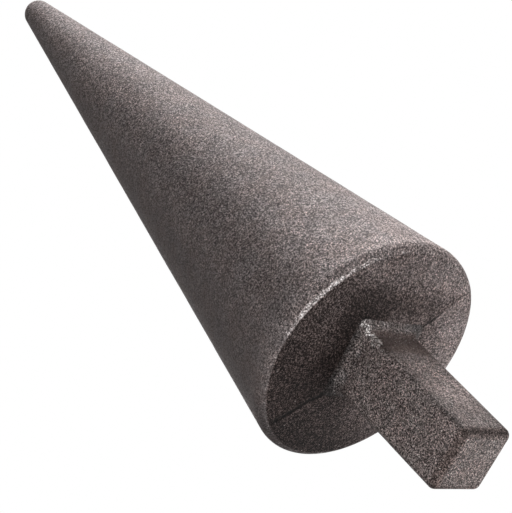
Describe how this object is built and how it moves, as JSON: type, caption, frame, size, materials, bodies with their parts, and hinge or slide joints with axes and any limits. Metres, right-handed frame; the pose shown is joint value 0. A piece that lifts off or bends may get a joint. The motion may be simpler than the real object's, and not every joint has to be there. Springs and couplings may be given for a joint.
{
  "type": "hardy cone mandrel",
  "caption": "Long cast-iron forming cone with a ball nose and a slightly bulging, drafted underside, on a square shank that drops into the hardy hole of an anvil.",
  "frame": {"origin": "on the axis, level with the sharp rim that the cone's side and underside would meet in along the mould's parting ridge", "axes": "+Z along the axis towards the nose; X and Y square to the shank's flats, so the parting ridge runs along the X = Y diagonal"},
  "size_m": [0.0918, 0.0918, 0.321],
  "materials": {
    "cone_iron": "as-cast, fine grain, slightly rubbed rim",
    "root_iron": "as-cast, fine grain",
    "shank_iron": "as-cast, coarser grain"
  },
  "bodies": {
    "root": {"cone_body": "cone_iron", "root_fillet": "root_iron", "hardy_shank": "shank_iron"}
  },
  "joints": []
}
